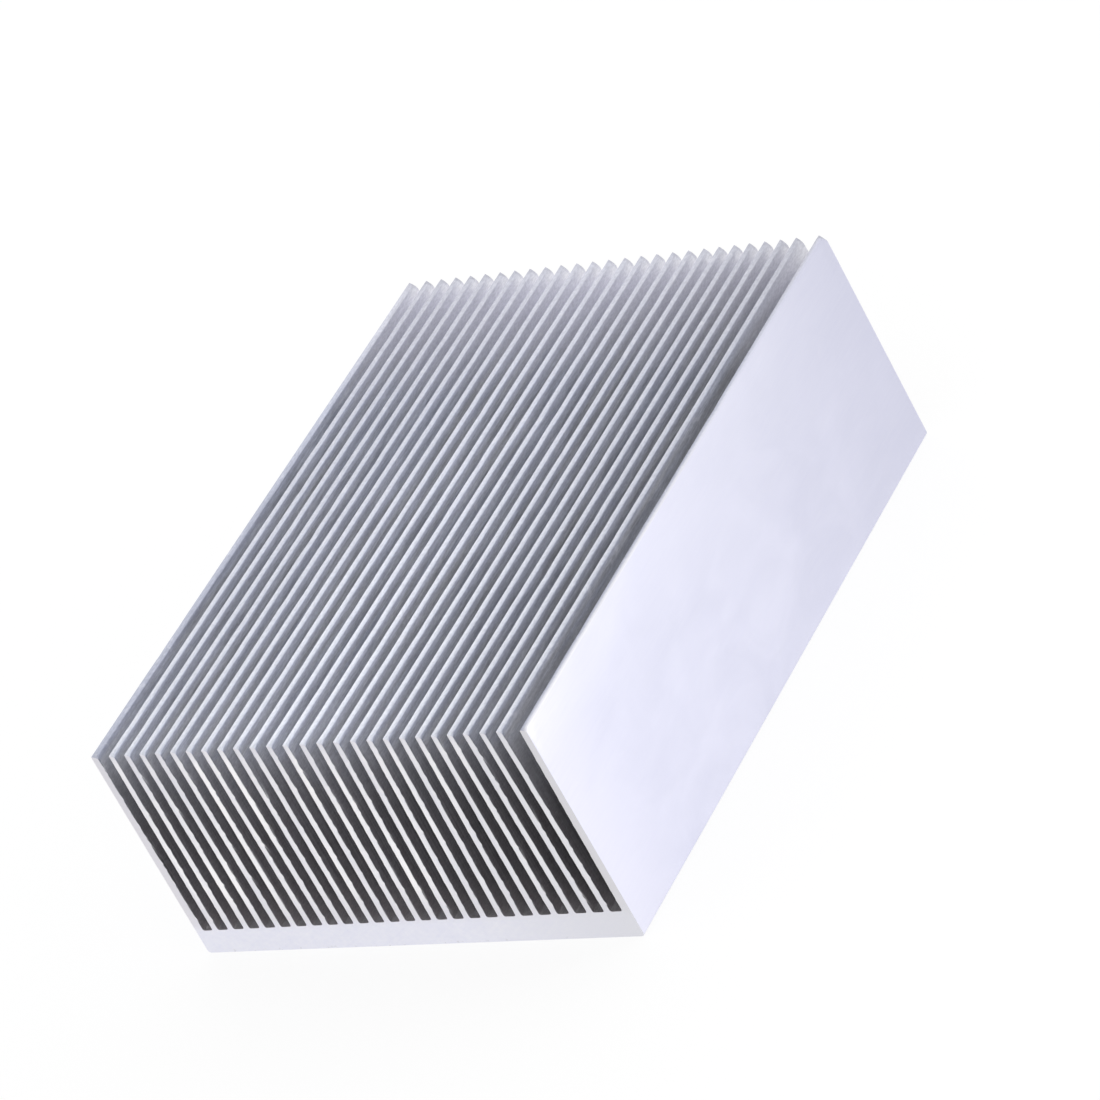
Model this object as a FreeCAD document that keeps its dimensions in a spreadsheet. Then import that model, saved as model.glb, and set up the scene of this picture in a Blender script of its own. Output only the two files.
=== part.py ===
import FreeCAD, Part
import os
import Sketcher

# An extruded aluminium heat sink, cut to length from a comb-shaped bar. It is one piece: a flat base plate,
# a thin wall up each long side, and a row of thin tapered fins between the walls. The slots between the
# fins run the whole length and have small radii at their floor.
#
# Sizes are in millimetres. X is across the fins, Y along them and Z up, with the origin at the middle of
# the base's underside. The fins of such a bar never stand quite straight. They lean one way and then the
# other in a wave that grows from the left side to the right, and drift a little to the left on the way.
# The base is a little thicker at the right side than at the left. The right wall leans in the most, and
# the slot beside it is the widest.

DRIVING_SIZES = [
    ("length", 100.0, "cut length of the bar, along the fins"),
    ("height", 35.0, "underside to fin tips"),
    ("base_left", 3.95, "thickness of the base at the left side wall"),
    ("base_right", 4.36, "thickness of the base at the right side wall"),
    ("fin_count", 25, "fins between the two side walls"),
    ("fin_pitch", 2.6, "middle of one fin to the middle of the next, before they lean"),
    ("end_pitch_left", 3.37, "left side of the base to the middle of the first fin, before it leans"),
    ("end_pitch_right", 4.23, "middle of the last fin, before it leans, to the right side of the base"),
    ("fin_root", 0.5, "how far a fin's outline runs down into the base, below the slot floor"),
    ("fin_foot", 0.9, "fin thickness at its foot"),
    ("fin_tip", 0.76, "fin thickness at its tip"),
    ("wall_foot", 1.25, "side wall thickness at the slot floor"),
    ("wall_top", 0.95, "side wall thickness at its top"),
    ("wall_lean_left", 0.12, "how far the top of the left wall stands in from the side of the base"),
    ("wall_lean_right", 0.75, "how far the top of the right wall stands in from the side of the base"),
    ("slot_radius", 0.3, "radius where a fin or a side wall meets the slot floor"),
    ("corner_radius", 0.5, "radius of the two lower edges of the base"),
    ("top_radius", 0.2, "radius of the edges along the top of a fin or a side wall"),
    ("lean_first", 0.25, "lean from foot to tip that the wave starts with, at the first fin"),
    ("lean_growth", 1.07, "growth of the lean wave from one fin to the next"),
    ("lean_start", 1.63, "fins before the lean wave first passes upright"),
    ("lean_half_wave", 8.8, "fins from one upright place of the wave to the next"),
    ("drift", 0.21, "most that a fin's middle drifts to the left"),
    ("drift_span", 26.2, "fins over which the drift would come and go"),
]
BASE_WIDTH = "(Sizes.end_pitch_left + (Sizes.fin_count - 1) * Sizes.fin_pitch + Sizes.end_pitch_right)"
HALF_WIDTH = f"({BASE_WIDTH} / 2)"

# The points of a line, and the two axes of a section, by number.
START, END = range(1, 3)
X_AXIS, Y_AXIS = range(-1, -3, -1)
ORIGIN = (X_AXIS, START)
EDGE_TOLERANCE = 0.001

doc = FreeCAD.newDocument("heat_sink")
sheet = doc.addObject("Spreadsheet::Sheet", "Sizes")
for row, (alias, value, meaning) in enumerate(DRIVING_SIZES, start=1):
    sheet.set(f"A{row}", meaning)
    sheet.set(f"B{row}", str(value))
    sheet.setAlias(f"B{row}", alias)
doc.recompute()

body = doc.addObject("PartDesign::Body", "heat_sink")
body.Label = "heat_sink"
body.Placement = FreeCAD.Placement()


def size(alias):
    """The value of one driving size."""
    return float(sheet.get(alias))


def section_sketch(name):
    """A sketch in the plane of the bar's section, with its x across the fins and its y up."""
    sketch = body.newObject("Sketcher::SketchObject", name)
    section_plane = next(plane for plane in body.Origin.OriginFeatures if plane.Role == "XZ_Plane")
    sketch.AttachmentSupport = (section_plane, "")
    sketch.MapMode = "FlatFace"
    return sketch


def add_line(sketch, start, end):
    """Draws a line and gives its number in the sketch."""
    segment = Part.LineSegment(FreeCAD.Vector(*start, 0), FreeCAD.Vector(*end, 0))
    return sketch.addGeometry(segment, False)


def relate(sketch, relations):
    """Adds constraints that hold no size, such as Coincident or Horizontal."""
    sketch.addConstraint([Sketcher.Constraint(*relation) for relation in relations])


def as_drawn(sketch, kind, measured):
    """What a dimension reads before it is tied to the sheet."""
    span = sketch.getPoint(*measured[2:]) - sketch.getPoint(*measured[:2])
    return span.x if kind == "DistanceX" else span.y


def bind(sketch, dimensions):
    """Adds dimensions, each given by its kind, what it measures and its formula from the sheet."""
    constraints = [
        Sketcher.Constraint(kind, *measured, as_drawn(sketch, kind, measured))
        for kind, measured, _ in dimensions
    ]
    numbers = sketch.addConstraint(constraints)
    for number, (_, _, formula) in zip(numbers, dimensions):
        sketch.setExpression(f"Constraints[{number}]", formula)


def draw_outline(sketch, corners):
    """Draws a closed outline of straight lines, and gives their numbers."""
    sides = [add_line(sketch, start, end) for start, end in zip(corners, corners[1:] + corners[:1])]
    relate(sketch, [("Coincident", a, END, b, START) for a, b in zip(sides, sides[1:] + sides[:1])])
    return sides


def wall_corners(side):
    """A side wall as it stands on the right: its outer foot, outer top, inner top and inner foot."""
    all_pitches = (size("fin_count") - 1) * size("fin_pitch")
    half_width = (size("end_pitch_left") + all_pitches + size("end_pitch_right")) / 2
    outer_top_x = half_width - size(f"wall_lean_{side}")
    return [
        (half_width, 0),
        (outer_top_x, size("height")),
        (outer_top_x - size("wall_top"), size("height")),
        (half_width - size("wall_foot"), size(f"base_{side}")),
    ]


def wall_foot_place(side):
    """Formula for how far from the middle a side wall's inner face meets the slot floor."""
    outer_face = f"{HALF_WIDTH} - Sizes.wall_lean_{side} * Sizes.base_{side} / Sizes.height"
    return f"{outer_face} - Sizes.wall_foot"


def draw_channel():
    """The base plate and the two side walls: one closed outline, a wide and low U."""
    sketch = section_sketch("channel_section")
    left_corners = [(-x, z) for x, z in reversed(wall_corners("left"))]
    sides = draw_outline(sketch, wall_corners("right") + left_corners)
    _, right_top, _, floor, _, left_top, _, underside = sides
    relate(
        sketch,
        [
            ("PointOnObject", underside, START, X_AXIS),
            ("Symmetric", underside, START, underside, END, Y_AXIS),
            ("Horizontal", right_top),
            ("Horizontal", left_top),
        ],
    )
    bind(
        sketch,
        [
            ("DistanceX", (*ORIGIN, underside, END), HALF_WIDTH),
            ("DistanceX", (*ORIGIN, right_top, START), f"{HALF_WIDTH} - Sizes.wall_lean_right"),
            ("DistanceX", (left_top, END, *ORIGIN), f"{HALF_WIDTH} - Sizes.wall_lean_left"),
            ("DistanceX", (right_top, END, right_top, START), "Sizes.wall_top"),
            ("DistanceX", (left_top, END, left_top, START), "Sizes.wall_top"),
            ("DistanceX", (*ORIGIN, floor, START), wall_foot_place("right")),
            ("DistanceX", (floor, END, *ORIGIN), wall_foot_place("left")),
            ("DistanceY", (*ORIGIN, floor, START), "Sizes.base_right"),
            ("DistanceY", (*ORIGIN, floor, END), "Sizes.base_left"),
            ("DistanceY", (*ORIGIN, right_top, START), "Sizes.height"),
            ("DistanceY", (*ORIGIN, left_top, START), "Sizes.height"),
        ],
    )
    return sketch


def fin_places(number):
    """Formulas for a fin's x at its foot and at its tip, where number is 0 at the left end of the row."""
    upright = f"Sizes.end_pitch_left + {number} * Sizes.fin_pitch - {HALF_WIDTH}"
    drift = f"Sizes.drift * (1 - cos(360 deg * {number} / Sizes.drift_span)) / 2"
    wave = f"sin(180 deg * (Sizes.lean_start - {number}) / Sizes.lean_half_wave)"
    lean = f"Sizes.lean_first * pow(Sizes.lean_growth; {number}) * {wave}"
    return f"{upright} - {drift} - {lean} / 2", f"{upright} - {drift} + {lean} / 2"


def draw_fin(sketch, number):
    """One fin: a foot inside the base, two flanks that taper upwards, and a flat top."""
    middle = (number - (size("fin_count") - 1) / 2) * size("fin_pitch")
    foot_height = size("base_left") - size("fin_root")
    half_foot, half_tip = size("fin_foot") / 2, size("fin_tip") / 2
    corners = [
        (middle + half_foot, foot_height),
        (middle - half_foot, foot_height),
        (middle - half_tip, size("height")),
        (middle + half_tip, size("height")),
    ]
    foot, _, top, _ = draw_outline(sketch, corners)
    relate(sketch, [("Horizontal", foot), ("Horizontal", top)])
    foot_place, tip_place = fin_places(number)
    bind(
        sketch,
        [
            ("DistanceX", (*ORIGIN, foot, START), f"{foot_place} + Sizes.fin_foot / 2"),
            ("DistanceX", (*ORIGIN, top, END), f"{tip_place} + Sizes.fin_tip / 2"),
        ],
    )
    return foot, top


def draw_fins():
    """The whole row of fins: the first one takes its sizes from the sheet, and the others equal it."""
    sketch = section_sketch("fin_section")
    fins = [draw_fin(sketch, number) for number in range(round(size("fin_count")))]
    first_foot, first_top = fins[0]
    bind(
        sketch,
        [
            ("DistanceX", (first_foot, END, first_foot, START), "Sizes.fin_foot"),
            ("DistanceX", (first_top, START, first_top, END), "Sizes.fin_tip"),
            ("DistanceY", (*ORIGIN, first_foot, START), "Sizes.base_left - Sizes.fin_root"),
            ("DistanceY", (*ORIGIN, first_top, START), "Sizes.height"),
        ],
    )
    for foot, top in fins[1:]:
        relate(
            sketch,
            [
                ("Equal", first_foot, foot),
                ("Equal", first_top, top),
                ("Horizontal", first_foot, START, foot, START),
                ("Horizontal", first_top, START, top, START),
            ],
        )
    return sketch


def extrude(sketch, name):
    """Pads a section over the whole cut length, half of it to each side of the middle."""
    pad = body.newObject("PartDesign::Pad", name)
    pad.Profile = sketch
    pad.SideType = "Symmetric"
    pad.setExpression("Length", "Sizes.length")
    pad.Refine = True
    doc.recompute()
    return pad


def edges_between(feature, heights):
    """Names of the edges that run along the bar between two heights above the underside."""
    lowest, highest = min(heights) - EDGE_TOLERANCE, max(heights) + EDGE_TOLERANCE
    names = []
    for number, edge in enumerate(feature.Shape.Edges, start=1):
        box = edge.BoundBox
        lies_along_bar = box.YLength > box.XLength + box.ZLength
        if lies_along_bar and lowest < box.Center.z < highest:
            names.append(f"Edge{number}")
    return names


def round_edges(feature, heights, radius, name):
    """Fillets the edges that run along the bar between two heights, with a radius from the sheet."""
    fillet = body.newObject("PartDesign::Fillet", name)
    fillet.Base = (feature, edges_between(feature, heights))
    fillet.setExpression("Radius", f"Sizes.{radius}")
    doc.recompute()
    return fillet


def check_document():
    """Stops unless every object was rebuilt and the bar is one sound solid."""
    for item in doc.Objects:
        if "Invalid" in item.State or "Error" in item.State:
            raise RuntimeError(f"{item.Label} could not be rebuilt")
    if body.Shape.isNull() or not body.Shape.isValid() or len(body.Shape.Solids) != 1:
        raise RuntimeError(f"{body.Label} is not one sound solid")


extrude(draw_channel(), "channel")
bar = extrude(draw_fins(), "fins")
bar = round_edges(bar, (size("base_left"), size("base_right")), "slot_radius", "slot_floor_radii")
bar = round_edges(bar, (0.0, 0.0), "corner_radius", "base_corners")
bar = round_edges(bar, (size("height"), size("height")), "top_radius", "top_edges")
check_document()

os.makedirs("parts", exist_ok=True)
body.Shape.exportStep(f"parts/{body.Label}.step")
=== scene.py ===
import math
import random

import bmesh
import bpy
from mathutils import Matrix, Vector, noise


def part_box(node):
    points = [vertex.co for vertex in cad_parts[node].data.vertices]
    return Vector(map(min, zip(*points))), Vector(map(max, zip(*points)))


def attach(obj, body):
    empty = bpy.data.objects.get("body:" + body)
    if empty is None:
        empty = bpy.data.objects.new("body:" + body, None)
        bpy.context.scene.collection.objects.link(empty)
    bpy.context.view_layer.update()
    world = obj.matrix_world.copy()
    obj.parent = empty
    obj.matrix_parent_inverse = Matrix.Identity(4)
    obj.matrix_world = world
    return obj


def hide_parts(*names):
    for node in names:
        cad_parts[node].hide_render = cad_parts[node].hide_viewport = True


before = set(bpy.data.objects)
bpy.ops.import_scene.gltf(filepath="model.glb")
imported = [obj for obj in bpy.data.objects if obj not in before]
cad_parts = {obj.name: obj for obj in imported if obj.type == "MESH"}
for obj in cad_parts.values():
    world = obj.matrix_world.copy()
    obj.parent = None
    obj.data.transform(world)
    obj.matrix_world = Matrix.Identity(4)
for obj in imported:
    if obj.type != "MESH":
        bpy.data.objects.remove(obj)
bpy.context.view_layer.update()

# The bar. One length of soft aluminium, pushed hot through a comb-shaped die, so the base plate, the
# two side walls and the fins between them are a single piece with the same section from end to end.
# Its outline is read from the rim of the solid's sawn end, and refined where the finish needs it.
MM = 0.001
SAME_PLACE = 0.001 * MM
LONG_SIDE = 5 * MM
CURVE_STEPS = 12
SIDE_STEPS = 5
TIP_FALL = 0.16 * MM
TIP_CORNER = 0.06 * MM
DROOP_START = 0.9
FIN_SWAY = 0.05 * MM
SWAY_PER_METRE = 45
SWAY_PER_FIN = 7.3
# Share of the painted highlight on the left wall's top.
LEFT_WALL_HIGHLIGHT = 0.3
UNDERSIDE = 0
RIGHT_WALL = 0

bar_low, bar_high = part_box("heat_sink")


class Spot:
    """A point of the section: its place, its side, how far up that side it is, and how it droops."""

    def __init__(self, place, side, on_curve, rise):
        self.x, self.z = place
        self.side = side
        self.on_curve = on_curve
        self.rise = rise
        self.upright = (side - 1) // 2
        climbs = side % 2 == 1
        self.droop = max(0.0, rise - DROOP_START) / (1.0 - DROOP_START) if climbs else 0.0
        self.out = (0.0, 0.0)


def section_corners(node, end_y):
    """Corners of the section, as (x, z), anticlockwise seen from the front, from the lower left one."""
    solid = bmesh.new()
    solid.from_mesh(node.data)
    bmesh.ops.remove_doubles(solid, verts=solid.verts, dist=SAME_PLACE)
    following = {}
    for face in solid.faces:
        if abs(face.normal.y) > 0.5:
            continue
        for loop in face.loops:
            here, there = loop.vert, loop.link_loop_next.vert
            if max(here.co.y, there.co.y) < end_y + SAME_PLACE:
                following[there] = here
    corner = min(following, key=lambda vert: (round(vert.co.z / SAME_PLACE), vert.co.x))
    corners = []
    for _ in range(len(following)):
        corners.append((corner.co.x, corner.co.z))
        corner = following[corner]
    solid.free()
    return corners


def section_stretches(corners):
    """The section as long flat sides and the short curves between them, in turn, underside first."""
    stretches = []
    curve = []
    for here, there in zip(corners, corners[1:] + corners[:1]):
        if math.dist(here, there) > LONG_SIDE:
            if curve:
                stretches.append(curve + [here])
            stretches.append([here, there])
            curve = []
        else:
            curve.append(here)
    stretches.append(curve + [corners[0]])
    return stretches


def evenly_spaced(points, steps):
    """Points at even distances along a polyline, without its last one."""
    lengths = [math.dist(a, b) for a, b in zip(points, points[1:])]
    spaced = []
    piece, passed = 0, 0.0
    for step in range(steps):
        wanted = sum(lengths) * step / steps
        while passed + lengths[piece] < wanted:
            passed += lengths[piece]
            piece += 1
        share = (wanted - passed) / lengths[piece]
        (x1, z1), (x2, z2) = points[piece], points[piece + 1]
        spaced.append((x1 + (x2 - x1) * share, z1 + (z2 - z1) * share))
    return spaced


def is_fin(upright):
    return RIGHT_WALL < upright < upright_count - 1


def is_tip(spot):
    return spot.on_curve and spot.rise == 1.0


def shape_tips(spots):
    """Gives each tip, but for the right wall's, a crisp left corner and a full, round right one."""
    for upright in range(upright_count):
        tip = [spot for spot in spots if is_tip(spot) and spot.upright == upright]
        right = tip[0].x
        left = spots[spots.index(tip[-1]) + 1].x
        for spot in tip:
            spot.droop = (spot.x - left) / (right - left)
        if upright == RIGHT_WALL:
            continue
        corner = left + TIP_CORNER
        for step, spot in enumerate(tip[:-1]):
            turn = math.pi / 2 * step / (len(tip) - 2)
            spot.x = corner + (right - corner) * math.cos(turn)
            spot.z = bar_high.z - TIP_FALL * (1 - math.sin(turn))
        tip[-1].x = left + TIP_CORNER / 5
        tip[-1].z = bar_high.z - TIP_CORNER / 2


def section_spots(stretches, side_steps):
    """The section's points, with a given number of steps along each long side."""
    spots = []
    for number, stretch in enumerate(stretches):
        side, on_curve = divmod(number, 2)
        climbs = side % 2 == 1
        steps = CURVE_STEPS if on_curve else side_steps
        for step, place in enumerate(evenly_spaced(stretch, steps)):
            share = 1.0 if on_curve else step / steps
            rise = share if climbs else 1.0 - share
            spots.append(Spot(place, side, bool(on_curve), 0.0 if side == UNDERSIDE else rise))
    shape_tips(spots)
    for before, spot, after in zip(spots[-1:] + spots[:-1], spots, spots[1:] + spots[:1]):
        across = Vector((after.z - before.z, before.x - after.x)).normalized()
        spot.out = (across.x, across.y)
    return spots


def outside(spot):
    """1 on the underside and the outer sides, and rising to 1 across the top of the right wall."""
    if is_tip(spot) and spot.upright == RIGHT_WALL:
        return spot.droop**2
    return float(spot.side in (UNDERSIDE, 1, 2 * upright_count))


def shelter(spot):
    """How deep in a slot a point lies, from 0 at the tips to 1 on the floor."""
    return 0.0 if is_tip(spot) or outside(spot) else 1.0 - spot.rise


def painted_highlight(spot):
    """Share of a top's painted highlight: most along a fin's left edge, or the right wall's right one."""
    if not is_tip(spot):
        return 0.0
    if spot.upright == RIGHT_WALL:
        return spot.droop * max(spot.out[1], 0.0)
    return (1.0 - spot.droop**2) * (1.0 if is_fin(spot.upright) else LEFT_WALL_HIGHLIGHT)


def sway(spot, y):
    """How far a fin stands off its straight place: extruded fins wander a little along the bar."""
    if not is_fin(spot.upright):
        return 0.0
    wander = noise.noise(Vector((y * SWAY_PER_METRE, spot.upright * SWAY_PER_FIN, 0.5)))
    return FIN_SWAY * spot.rise**2 * wander


stretches = section_stretches(section_corners(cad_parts["heat_sink"], bar_low.y))
upright_count = (len(stretches) // 2 - 1) // 2
coarse = section_spots(stretches, SIDE_STEPS)

# The two sawn ends. A saw cuts the bar to length, so the ends are flat with a faint sharp edge round
# them. The blade leaves thin ragged burrs on the flanks of the fins, most of all where it comes out of
# them, and drags down the right side of each tip, more so at the far end.
END_REFINEMENT = 16
EDGE_BREAK = 0.02 * MM
BURR_DEPTH = 0.15 * MM
BURR_ROOT_SHARE = 0.3
BURR_START = (0.02, 0.06)
BURR_STEP = (0.03, 0.09)
BURR_TOP = 0.95
BURR_WANDER = 0.05 * MM
TOOTH_CHANCE = 0.65
TOOTH_REACH = (0.06 * MM, 0.19 * MM)
TOOTH_POINT = 0.013
TOOTH_END = 0.028
ENTRY_SHARE = 0.35
BURR_SHARES = {"front": 1.0, "back": 0.4}
END_ZONES = {"front": 0.45 * MM, "back": 0.9 * MM}
CORNER_FALLS = {"front": 0.35 * MM, "back": 1.1 * MM}

fine_side_steps = SIDE_STEPS * END_REFINEMENT
fine_turn = fine_side_steps + CURVE_STEPS
fine = section_spots(stretches, fine_side_steps)


def burr_edge(chance):
    """A ragged edge up one flank, as (rise, reach) corners: a slow wander with small teeth on it."""
    edge = [(0.0, 0.0)]
    rise = chance.uniform(*BURR_START)
    while rise < BURR_TOP:
        level = chance.uniform(-BURR_WANDER, BURR_WANDER)
        edge.append((rise, level))
        if chance.random() < TOOTH_CHANCE:
            edge.append((rise + TOOTH_POINT, level + chance.uniform(*TOOTH_REACH)))
            edge.append((rise + TOOTH_END, level))
        rise += chance.uniform(*BURR_STEP)
    return edge + [(1.0, 0.0)]


def burr_reach(edge, rise):
    """How far the burr stands out at a height."""
    for (rise1, reach1), (rise2, reach2) in zip(edge, edge[1:]):
        if rise1 <= rise <= rise2:
            return reach1 + (reach2 - reach1) * (rise - rise1) / max(rise2 - rise1, 1e-6)
    return 0.0


def end_rings(bar, end, end_y, inward, chance):
    """Adds the three rings of one sawn end, outermost first, and gives the first point of each."""
    inner_sides = range(2, 2 * upright_count)
    edges = {side: burr_edge(chance) for side in inner_sides}

    def burr(spot):
        """How far the burr stands out of a flank, less where the blade goes in."""
        if spot.on_curve or spot.side not in inner_sides:
            return 0.0
        exit_side = spot.side % 2 == 1
        reach = burr_reach(edges[spot.side], spot.rise) * (1.0 if exit_side else ENTRY_SHARE)
        return BURR_SHARES[end] * reach

    def add_ring(depth, inset, burr_share):
        """Adds a ring at a depth behind the cut, drawn in by the inset and out by a share of the burr."""
        y = end_y + inward * depth
        fall = CORNER_FALLS[end] * (1 - depth / END_ZONES[end])

        def place_at(spot):
            out_x, out_z = spot.out
            x = spot.x + out_x * (burr_share * burr(spot) - inset) + sway(spot, y)
            return (x, y, spot.z - out_z * inset - fall * spot.droop)

        return bar.add_ring(fine, place_at)

    return [
        add_ring(0.0, EDGE_BREAK, 1.0),
        add_ring(EDGE_BREAK, 0.0, 1.0),
        add_ring(BURR_DEPTH, 0.0, BURR_ROOT_SHARE),
    ]


# The bar from end to end. The near end, the length between and the far end are joined ring by ring into
# one closed skin, with its points marked for the finishes. Soft metal is easily knocked, so the tips
# have small shallow dents here and there.
RINGS = 66
KNOCKS = 110
KNOCK_DEPTH = 0.07 * MM
KNOCK_LENGTH = 1.3 * MM
KNOCK_SIZES = (0.2, 1.0)
CHANCE_SEED = 41
SHARP_DEGREES = 32
TRAITS = (shelter, outside, painted_highlight)
MILL, SAWN = 0, 1


class BarMesh:
    """Collects the rings of points from the front end to the back end, and the faces between them."""

    def __init__(self):
        self.points = []
        self.traits = {trait.__name__: [] for trait in TRAITS}
        self.faces = []
        self.finishes = []

    def add_ring(self, spots, place_at):
        """Adds one ring, placed by a function of the spot, and gives the number of its first point."""
        first = len(self.points)
        for spot in spots:
            self.points.append(place_at(spot))
            for trait in TRAITS:
                self.traits[trait.__name__].append(trait(spot))
        return first

    def add_face(self, corners, finish):
        self.faces.append(corners)
        self.finishes.append(finish)

    def join_rings(self, front, back, count, finish):
        """Quads between two rings with as many points."""
        for i in range(count):
            j = (i + 1) % count
            self.add_face((front + i, back + i, back + j, front + j), finish)

    def join_refined(self, fine_first, coarse_first, finish):
        """Faces between a ring with finely divided sides and one with coarse sides."""
        middle = END_REFINEMENT // 2
        fine_at, coarse_at = 0, 0
        for number in range(len(stretches)):
            on_curve = number % 2 == 1
            for _ in range(CURVE_STEPS if on_curve else SIDE_STEPS):
                coarse_next = (coarse_at + 1) % len(coarse)
                here, there = coarse_first + coarse_at, coarse_first + coarse_next
                steps = 1 if on_curve else END_REFINEMENT
                edge = [fine_first + (fine_at + k) % len(fine) for k in range(steps + 1)]
                if on_curve:
                    self.add_face((edge[0], here, there, edge[1]), finish)
                else:
                    for k in range(END_REFINEMENT):
                        self.add_face((edge[k], here if k < middle else there, edge[k + 1]), finish)
                    self.add_face((here, there, edge[middle]), finish)
                fine_at += steps
                coarse_at = coarse_next

    def close_end(self, first, finish):
        """Faces over a sawn end: a ladder of quads up each upright, its tip, and the base below them."""
        base = list(range(first, first + fine_turn + 1))
        for upright in range(upright_count):
            right = first + (2 * upright + 1) * fine_turn
            left = first + (2 * upright + 2) * fine_turn + fine_side_steps
            for step in range(fine_side_steps):
                rung = (right + step, right + step + 1, left - step - 1, left - step)
                self.add_face(rung, finish)
            self.add_face(tuple(range(right + fine_side_steps, left - fine_side_steps + 1)), finish)
            base += range(left, left + CURVE_STEPS + (upright < upright_count - 1))
        self.add_face(tuple(base), finish)


bar = BarMesh()
chance = random.Random(CHANCE_SEED)
front = end_rings(bar, "front", bar_low.y, 1, chance)
back = end_rings(bar, "back", bar_high.y, -1, chance)
knocks = [
    (
        chance.randrange(upright_count),
        chance.uniform(bar_low.y, bar_high.y),
        chance.uniform(*KNOCK_SIZES),
    )
    for _ in range(KNOCKS)
]


def knocked(spot, y):
    """How far a tip is dented at a place along the bar."""
    if spot.rise < 1.0:
        return 0.0
    depth = 0.0
    for upright, middle, size in knocks:
        if upright == spot.upright:
            depth += size * KNOCK_DEPTH * math.exp(-(((y - middle) / KNOCK_LENGTH) ** 2))
    return depth


def place_between(y):
    """Places the spots of a ring that lies between the two ends."""
    return lambda spot: (spot.x + sway(spot, y), y, spot.z - knocked(spot, y))


first_y, last_y = bar_low.y + END_ZONES["front"], bar_high.y - END_ZONES["back"]
rings = [
    bar.add_ring(coarse, place_between(first_y + (last_y - first_y) * ring / (RINGS - 1)))
    for ring in range(RINGS)
]

bar.close_end(front[0], SAWN)
bar.join_rings(front[0], front[1], len(fine), SAWN)
bar.join_rings(front[1], front[2], len(fine), MILL)
for here, there in zip(rings, rings[1:]):
    bar.join_rings(here, there, len(coarse), MILL)
bar.join_refined(front[2], rings[0], MILL)
bar.join_refined(back[2], rings[-1], MILL)
bar.join_rings(back[2], back[1], len(fine), MILL)
bar.join_rings(back[1], back[0], len(fine), SAWN)
bar.close_end(back[0], SAWN)

mesh = bpy.data.meshes.new("extruded_bar")
mesh.from_pydata(bar.points, [], bar.faces)
mesh.polygons.foreach_set("material_index", bar.finishes)
for trait, values in bar.traits.items():
    mesh.attributes.new(trait, "FLOAT", "POINT").data.foreach_set("value", values)
mesh.validate()
shell = bmesh.new()
shell.from_mesh(mesh)
bmesh.ops.recalc_face_normals(shell, faces=shell.faces)
shell.to_mesh(mesh)
shell.free()
mesh.shade_smooth()
mesh.set_sharp_from_angle(angle=math.radians(SHARP_DEGREES))
heat_sink = bpy.data.objects.new("finned_bar", mesh)
bpy.context.scene.collection.objects.link(heat_sink)
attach(heat_sink, "root")
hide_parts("heat_sink")

# The mill finish. Bare metal as it leaves the die: fine lines along the bar where the die has scored it,
# soft blotches, and light scuffs where other bars have rubbed it. It is a pale blue grey on the outside.
# Painted light and shade go over it: a painted highlight along the tips, flanks painted lighter down in
# the slots, near the front end and towards the far end, and painted shade to the right and on the wall
# tops.
BLUE_FLANK = (0.56, 0.58, 0.65, 1), (0.8, 0.825, 0.905, 1)
GREY_FLANK = (0.565, 0.57, 0.6, 1), (0.8, 0.81, 0.845, 1)
# Painted light that lifts the shade deeper in the slots and down to the slot floors.
LIT_MID_FLANK = (0.8, 0.8, 0.83, 1), (0.92, 0.92, 0.955, 1)
LIT_DEEP_FLANK = (0.69, 0.68, 0.705, 1), (0.86, 0.85, 0.875, 1)
LIT_SLOT_FLOOR = (0.8, 0.78, 0.8, 1)
FRONT_LIT_FLANK = (0.95, 0.95, 0.98, 1)
BACK_LIT_FLANK = (0.89, 0.89, 0.955, 1)
TIP = (0.6, 0.63, 0.74, 1), (0.77, 0.8, 0.92, 1)
# Painted light on the tips towards the open far end.
BACK_LIT_TIP = (0.76, 0.765, 0.84, 1)
# Painted highlight along the tips, bright at the front and dimmer at the far end.
TIP_HIGHLIGHT = (0.9, 0.92, 0.985, 1), (0.7, 0.71, 0.79, 1)
SKIN = (0.72, 0.725, 0.845, 1), (0.77, 0.773, 0.89, 1)
# Painted light up high and near the front of the skin, and painted shade towards its far end.
LIT_HIGH_SKIN = (0.78, 0.785, 0.885, 1)
LIT_NEAR_SKIN = (0.79, 0.79, 0.895, 1)
SHADED_FAR_SKIN = (0.68, 0.685, 0.81, 1)
# Painted highlight along the top edge of the right wall.
TOP_EDGE_HIGHLIGHT = (0.9, 0.89, 0.905, 1)
SCUFF = (0.84, 0.84, 0.89, 1)
# Painted shade on the right-hand tips near the front.
SHADED_RIGHT_TIPS = (0.82, 0.825, 0.85, 1)
# Painted shade on the tips' painted highlight to the left.
DIMMER_LEFT_HIGHLIGHT = (0.84, 0.84, 0.84, 1)
# Painted shade towards the right and on the wall tops.
SHADED_RIGHT_FINS = (0.8, 0.8, 0.8, 1)
SHADED_WALL_TOP = (0.77, 0.77, 0.79, 1)
DULL_SPECK = (0.86, 0.86, 0.87, 1)
WHITE = (1, 1, 1, 1)
MILL_ROUGHNESS = (0.5, 0.62)
SCORE_DEPTH = 0.008 * MM


def add_node(tree, kind, inputs=None, **settings):
    """Adds a shader node. Its inputs are values, or outputs of other nodes to link from."""
    node = tree.nodes.new("ShaderNode" + kind)
    for name, value in settings.items():
        setattr(node, name, value)
    for socket, source in (inputs or {}).items():
        if isinstance(source, bpy.types.NodeSocket):
            tree.links.new(source, node.inputs[socket])
        else:
            node.inputs[socket].default_value = source
    return node


def new_finish(name, settings):
    """A material with the given values on its main shader."""
    material = bpy.data.materials.new(name)
    material.use_nodes = True
    shader = material.node_tree.nodes["Principled BSDF"]
    for socket, value in settings.items():
        shader.inputs[socket].default_value = value
    return material, material.node_tree, shader


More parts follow.
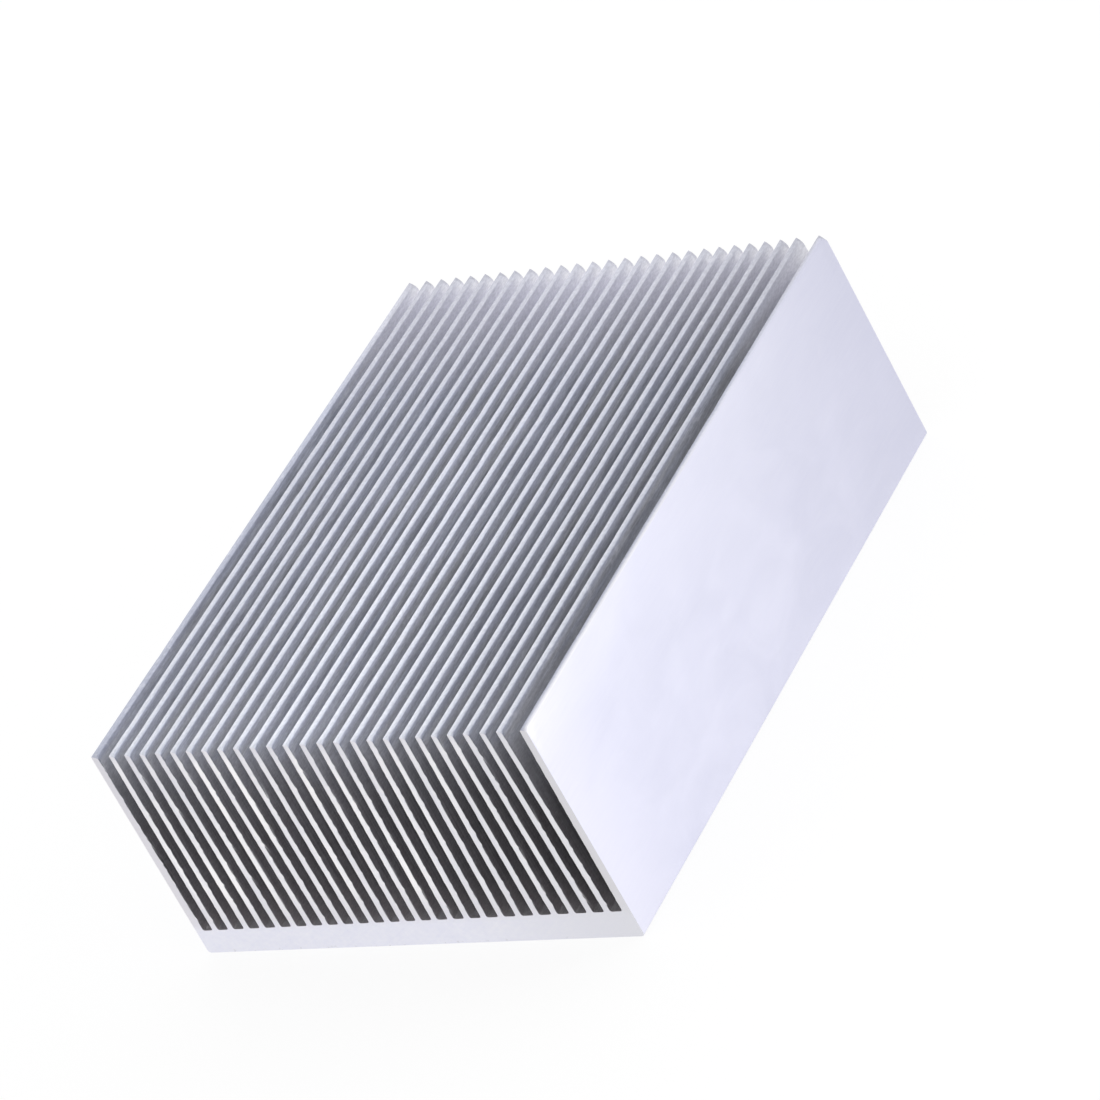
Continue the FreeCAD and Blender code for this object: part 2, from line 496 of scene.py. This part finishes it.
def stretched_noise(tree, place, per_metre, detail=2.0, distortion=0.0):
    """Noise with its own count of grains in a metre along x, y and z, from 0 to 1."""
    scaled = add_node(tree, "VectorMath", {0: place, 1: per_metre}, operation="MULTIPLY")
    inputs = {"Vector": scaled.outputs[0], "Scale": 1.0, "Detail": detail, "Distortion": distortion}
    return add_node(tree, "TexNoise", inputs).outputs[0]


def remapped(tree, value, low, high, new_low=0.0, new_high=1.0):
    """A value moved from one range into another, and kept inside it."""
    inputs = {"Value": value, "From Min": low, "From Max": high, "To Min": new_low, "To Max": new_high}
    return add_node(tree, "MapRange", inputs).outputs[0]


def widened(tree, value, reach, new_low=0.0, new_high=1.0):
    """Noise keeps near one half: what lies within a reach of it is spread over a whole range."""
    return remapped(tree, value, 0.5 - reach, 0.5 + reach, new_low, new_high)


def mixed_colour(tree, share, first, second, blend="MIX"):
    """Two colours mixed by a share."""
    node = add_node(tree, "Mix", {0: share, 6: first, 7: second}, data_type="RGBA", blend_type=blend)
    return node.outputs[2]


def coated(tree, colour, coats, blend="MIX"):
    """A colour with others laid over it in turn, each by its share."""
    for share, coat in coats:
        colour = mixed_colour(tree, share, colour, coat, blend)
    return colour


def calculated(tree, operation, first, second=0.0):
    return add_node(tree, "Math", {0: first, 1: second}, operation=operation).outputs[0]


def product(tree, first, *others):
    """Several values multiplied with each other."""
    for value in others:
        first = calculated(tree, "MULTIPLY", first, value)
    return first


def blended(tree, parts):
    """The sum of several values, each with its share."""
    total = product(tree, *parts[0])
    for part in parts[1:]:
        total = calculated(tree, "ADD", total, product(tree, *part))
    return total


def places_on_bar(tree):
    """The place on the bar, then how far it is across, along and up."""
    place = add_node(tree, "TexCoord").outputs["Object"]
    return place, *add_node(tree, "SeparateXYZ", {0: place}).outputs


mill, tree, shader = new_finish(
    "mill_finish",
    {"Metallic": 1.0, "Anisotropic": 0.6, "Anisotropic Rotation": 0.25},
)
place, across_bar, along_bar, height = places_on_bar(tree)
depth, skin_place, highlight_share = [
    add_node(tree, "Attribute", attribute_name=trait).outputs["Fac"] for trait in bar.traits
]
die_lines = stretched_noise(tree, place, (2300, 110, 2300), 2.0)
hair_lines = stretched_noise(tree, place, (6000, 300, 6000), 2.0)
blotches = stretched_noise(tree, place, (130, 80, 130), 4.0, 0.6)
tints = stretched_noise(tree, place, (620, 34, 620), 1.0)
marks = stretched_noise(tree, place, (900, 520, 900), 2.0, 0.8)
specks = stretched_noise(tree, place, (4200, 1500, 4200), 2.0)
drags = stretched_noise(tree, place, (500, 3400, 45), 2.0)
streaks = blended(tree, [(die_lines, 0.55), (hair_lines, 0.45)])
off_middle = calculated(tree, "ABSOLUTE", across_bar)

# The flanks, by how deep in the slot they are: painted lighter further down, which lifts the shade
# in the slots, and painted light near the open front end and towards the open far end.
below_tip = remapped(tree, depth, 0.0, 0.03)
well_below = remapped(tree, depth, 0.05, 0.12)
deep_down = remapped(tree, depth, 0.2, 0.5)
on_floor = remapped(tree, depth, 0.75, 0.95)
# Painted light on the flanks near the open front end.
near_front = remapped(tree, along_bar, -26 * MM, -46 * MM, 0.0, 0.35)
# Painted light on the flanks and tips towards the open far end.
back_lit = remapped(tree, along_bar, 22 * MM, 43 * MM)
streak_share = widened(tree, streaks, 0.12)
drag_share = widened(tree, drags, 0.15)
blue_flank = mixed_colour(tree, streak_share, *BLUE_FLANK)
grey_flank = mixed_colour(tree, streak_share, *GREY_FLANK)
lit_mid_flank = mixed_colour(tree, drag_share, *LIT_MID_FLANK)
lit_deep_flank = mixed_colour(tree, drag_share, *LIT_DEEP_FLANK)
flank_coats = [
    (widened(tree, tints, 0.1), grey_flank),
    (near_front, FRONT_LIT_FLANK),
    (well_below, lit_mid_flank),
    (deep_down, lit_deep_flank),
    (on_floor, LIT_SLOT_FLOOR),
    (back_lit, BACK_LIT_FLANK),
]
flank = coated(tree, blue_flank, flank_coats)

# The tips, with a painted highlight along one edge, brighter towards the front and dimmer to the left,
# painted shade on the right-hand tips near the front, and painted light towards the far end.
right_tips = remapped(tree, across_bar, 4 * MM, 22 * MM)
near_tips = remapped(tree, along_bar, 25 * MM, -15 * MM)
tip = mixed_colour(tree, streak_share, *TIP)
# Painted shade on the right-hand tips near the front.
tip = mixed_colour(tree, product(tree, right_tips, near_tips), tip, SHADED_RIGHT_TIPS, "MULTIPLY")
tip = mixed_colour(tree, back_lit, tip, BACK_LIT_TIP)
towards_far_end = remapped(tree, along_bar, -45 * MM, 42 * MM)
towards_left = remapped(tree, across_bar, -4 * MM, -24 * MM, 0.0, 0.8)
# Painted highlight along the tips, dimmed to the left.
tip_highlight = mixed_colour(tree, towards_far_end, *TIP_HIGHLIGHT)
tip_highlight = mixed_colour(tree, towards_left, tip_highlight, DIMMER_LEFT_HIGHLIGHT, "MULTIPLY")
colour = coated(tree, tip, [(below_tip, flank), (highlight_share, tip_highlight)])

# Painted shade towards the right and on the wall tops, and small dull specks.
towards_right = remapped(tree, across_bar, 0.0, 30 * MM, 0.0, 0.6)
on_walls = remapped(tree, off_middle, 32.8 * MM, 33.3 * MM)
on_tops = remapped(tree, height, 34 * MM, 34.8 * MM)
nearer_tops = remapped(tree, along_bar, 40 * MM, 0.0, 0.2, 1.0)
speckled = mixed_colour(tree, widened(tree, specks, 0.15), DULL_SPECK, WHITE)
dull_coats = [
    (towards_right, SHADED_RIGHT_FINS),
    (product(tree, on_walls, on_tops, nearer_tops), SHADED_WALL_TOP),
    (1.0, speckled),
]
colour = coated(tree, colour, dull_coats, "MULTIPLY")

# The smooth skin outside, painted lighter up high and near the front and darker towards the far end,
# a painted highlight along its top edge, and the scuffs.
high_up = remapped(tree, height, 16 * MM, 34 * MM, 0.0, 0.5)
at_front = remapped(tree, along_bar, -36 * MM, -49 * MM)
far_off = remapped(tree, along_bar, 24 * MM, 50 * MM, 0.0, 0.6)
highlight_fade = remapped(tree, along_bar, -14 * MM, 22 * MM)
skin_share = widened(tree, blended(tree, [(blotches, 0.8), (streaks, 0.2)]), 0.15)
skin = mixed_colour(tree, skin_share, *SKIN)
# Painted light up high and at the front, painted shade towards the far end.
skin = coated(tree, skin, [(high_up, LIT_HIGH_SKIN), (at_front, LIT_NEAR_SKIN), (far_off, SHADED_FAR_SKIN)])
# Painted highlight along the right wall's top edge, fading out towards the far end.
top_edge_highlight = mixed_colour(tree, highlight_fade, TOP_EDGE_HIGHLIGHT, skin)
mostly_fins = calculated(tree, "SUBTRACT", 1.0, product(tree, skin_place, 0.85))
scuffed = product(tree, remapped(tree, marks, 0.62, 0.7, 0.0, 0.28), mostly_fins)
skin_coats = [(skin_place, skin), (product(tree, skin_place, highlight_share), top_edge_highlight), (scuffed, SCUFF)]
colour = coated(tree, colour, skin_coats)

relief = blended(tree, [(streaks, 1.0), (marks, 0.4)])
scored = add_node(tree, "Bump", {"Height": relief, "Strength": 1.0, "Distance": SCORE_DEPTH})
drawn_along = add_node(tree, "CombineXYZ", {"X": 0.0, "Y": 1.0, "Z": 0.0})
tree.links.new(colour, shader.inputs["Base Color"])
tree.links.new(widened(tree, streaks, 0.2, *MILL_ROUGHNESS), shader.inputs["Roughness"])
tree.links.new(scored.outputs[0], shader.inputs["Normal"])
tree.links.new(drawn_along.outputs[0], shader.inputs["Tangent"])
heat_sink.data.materials.append(mill)

# The sawn finish. Freshly cut metal, brighter and more even than the skin of the bar, with faint arcs
# left by the teeth of a large blade. It is bluer over the base and darker on the walls' ends. Painted
# light makes the fins' ends lighter than the base, and painted shade darkens the cut towards the right,
# at the very tops and near the slot floors.
BLADE_MIDDLE = (-0.09, 0.0, 0.14)
BASE_METAL = (0.81, 0.815, 0.92, 1), (0.89, 0.89, 0.955, 1)
FIN_METAL = (0.81, 0.8, 0.855, 1), (1, 0.98, 1, 1)
WALL_METAL = (0.75, 0.737, 0.785, 1), (0.727, 0.717, 0.748, 1)
# Painted shade at the fins' feet, at the very tops and towards the right.
SHADED_FIN_FOOT = (0.79, 0.775, 0.825, 1)
SHADED_FIN_TOP = (0.76, 0.75, 0.81, 1)
SHADED_RIGHT_END = (0.75, 0.75, 0.79, 1)
PIT = (0.4, 0.4, 0.42, 1)
SAWN_ROUGHNESS = (0.38, 0.5)
CUT_DEPTH = 0.012 * MM

sawn, tree, shader = new_finish("sawn_finish", {"Metallic": 1.0})
place, across_bar, along_bar, height = places_on_bar(tree)
from_blade = add_node(tree, "VectorMath", {0: place, 1: BLADE_MIDDLE}, operation="DISTANCE")
arc = add_node(tree, "CombineXYZ", {"X": from_blade.outputs["Value"]}).outputs[0]
arcs = stretched_noise(tree, arc, (1900, 1, 1), 3.0)
grain = stretched_noise(tree, place, (1300, 1300, 1300), 2.0)
mottle = stretched_noise(tree, place, (260, 260, 260), 3.0)
fin_tones = stretched_noise(tree, place, (385, 1, 45), 1.0)
texture = blended(tree, [(arcs, 0.3), (grain, 0.35), (mottle, 0.35)])
off_middle = calculated(tree, "ABSOLUTE", across_bar)

# Where the cut metal changes its tone: the steps up from the base, at the fins' feet and at the tops, and
# the fall towards the right, are painted light and shade.
above_foot = remapped(tree, height, 5 * MM, 11 * MM)
at_top = remapped(tree, height, 32.5 * MM, 34.5 * MM, 0.0, 0.6)
above_base = remapped(tree, height, 3.5 * MM, 5.5 * MM)
towards_right = remapped(tree, across_bar, 8 * MM, 34 * MM, 0.0, 0.75)
left_to_right = remapped(tree, across_bar, -30 * MM, 30 * MM)
on_walls = remapped(tree, off_middle, 33.1 * MM, 33.5 * MM, 0.0, 0.85)
clear_of_base = remapped(tree, height, 4 * MM, 8 * MM)
pitted = remapped(tree, grain, 0.6, 0.7, 0.0, 0.5)
low_edge = remapped(tree, height, 0.6 * MM, 0.0)

base_metal = mixed_colour(tree, widened(tree, texture, 0.15), *BASE_METAL)
fin_share = widened(tree, blended(tree, [(texture, 0.4), (fin_tones, 0.6)]), 0.1)
fin_metal = mixed_colour(tree, fin_share, *FIN_METAL)
# Painted shade at the fins' feet and at the very tops; the fins' ends are painted lighter than the base.
fin_metal = mixed_colour(tree, above_foot, SHADED_FIN_FOOT, fin_metal)
fin_metal = mixed_colour(tree, at_top, fin_metal, SHADED_FIN_TOP)
wall_metal = mixed_colour(tree, left_to_right, *WALL_METAL)
sawn_coats = [
    (above_base, fin_metal),
    (towards_right, SHADED_RIGHT_END),
    (product(tree, on_walls, clear_of_base), wall_metal),
    (product(tree, pitted, low_edge), PIT),
]
colour = coated(tree, base_metal, sawn_coats)
cuts = add_node(tree, "Bump", {"Height": texture, "Strength": 1.0, "Distance": CUT_DEPTH})
tree.links.new(colour, shader.inputs["Base Color"])
tree.links.new(widened(tree, texture, 0.2, *SAWN_ROUGHNESS), shader.inputs["Roughness"])
tree.links.new(cuts.outputs[0], shader.inputs["Normal"])
heat_sink.data.materials.append(sawn)

# The table that the bar stands on, white and plain, and the soft white light of a small studio round it:
# an even white room, a small low lamp at the right and a larger one high up behind the left side.
FLOOR_SIZE = 6.0
FLOOR_GAP = 0.05 * MM
FLOOR_GLOW = 0.85

bpy.ops.mesh.primitive_plane_add(size=FLOOR_SIZE, location=(0, 0, bar_low.z - FLOOR_GAP))
floor = bpy.context.object
floor.name = "table"
white = bpy.data.materials.new("white_table")
white.use_nodes = True
tree = white.node_tree
tree.nodes.clear()
rays = add_node(tree, "LightPath").outputs
seen = calculated(tree, "MAXIMUM", rays["Is Camera Ray"], rays["Is Glossy Ray"])
seen = calculated(tree, "MAXIMUM", seen, rays["Is Transmission Ray"])
matt = add_node(tree, "BsdfDiffuse", {"Color": WHITE}).outputs[0]
glow = add_node(tree, "Emission", {"Color": WHITE, "Strength": 1.0}).outputs[0]
surface = add_node(tree, "MixShader", {0: product(tree, seen, FLOOR_GLOW), 1: matt, 2: glow})
add_node(tree, "OutputMaterial", {"Surface": surface.outputs[0]})
floor.data.materials.append(white)

world = bpy.data.worlds.new("white_room")
world.use_nodes = True
background = world.node_tree.nodes["Background"]
background.inputs["Color"].default_value = WHITE
background.inputs["Strength"].default_value = 1.0
bpy.context.scene.world = world


def add_lamp(name, place, size, watts):
    """A square lamp that faces the bar."""
    light = bpy.data.lights.new(name, "AREA")
    light.size = size
    light.energy = watts
    lamp = bpy.data.objects.new(name, light)
    lamp.location = place
    lamp.rotation_euler = Vector(place).to_track_quat("Z", "Y").to_euler()
    bpy.context.scene.collection.objects.link(lamp)


add_lamp("low_right_lamp", place=(0.2, 0.045, 0.052), size=0.08, watts=0.066)
add_lamp("high_back_lamp", place=(-0.3, 0.3, 0.3), size=0.15, watts=0.11)

# The camera. A long lens, rolled so that the bar seems to stand on one corner, as in the photograph,
# and plain view settings, so that a colour renders about as it is written.
camera_data = bpy.data.cameras.new("camera")
camera_data.lens = 194.886
camera_data.sensor_width = 36
camera_data.clip_start = 0.01
camera = bpy.data.objects.new("camera", camera_data)
camera.location = (0.456406, -0.512546, 0.419411)
camera.rotation_euler = [math.radians(turn) for turn in (56.55, 24.3618, 25.9303)]
bpy.context.scene.collection.objects.link(camera)
bpy.context.scene.camera = camera
bpy.context.scene.view_settings.view_transform = "Standard"
